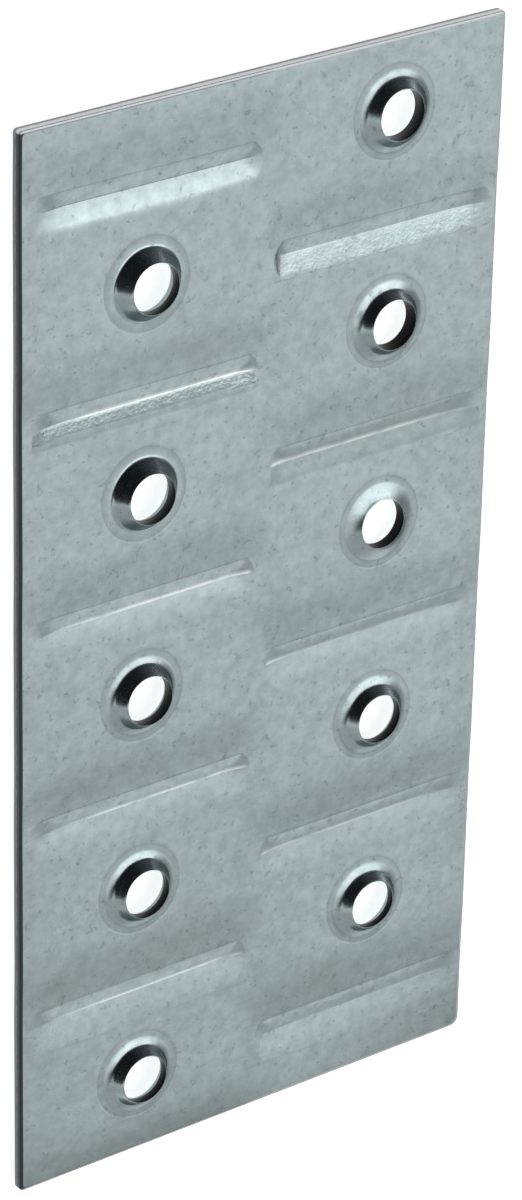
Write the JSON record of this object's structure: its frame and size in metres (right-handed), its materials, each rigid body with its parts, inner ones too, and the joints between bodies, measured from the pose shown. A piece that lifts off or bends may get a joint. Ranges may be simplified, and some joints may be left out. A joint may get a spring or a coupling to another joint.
{
  "type": "nail plate",
  "caption": "Flat rectangular sheet-steel plate for nailing timbers together, with a chequerboard of raised nail holes and pressed stiffening grooves.",
  "frame": {"origin": "middle of the plate's length and width, on the plane that the ridges on its back rest on", "axes": "+X across the width, +Y along the length, +Z out of the face that the nail holes rise from"},
  "size_m": [0.051, 0.105, 0.0032],
  "materials": {
    "zinc_sheet": "hot-dip zinc coating on rolled sheet, matt grey with fine spangle, bright where the press has stretched it"
  },
  "bodies": {
    "root": {"nail_plate": "zinc_sheet"}
  },
  "joints": []
}
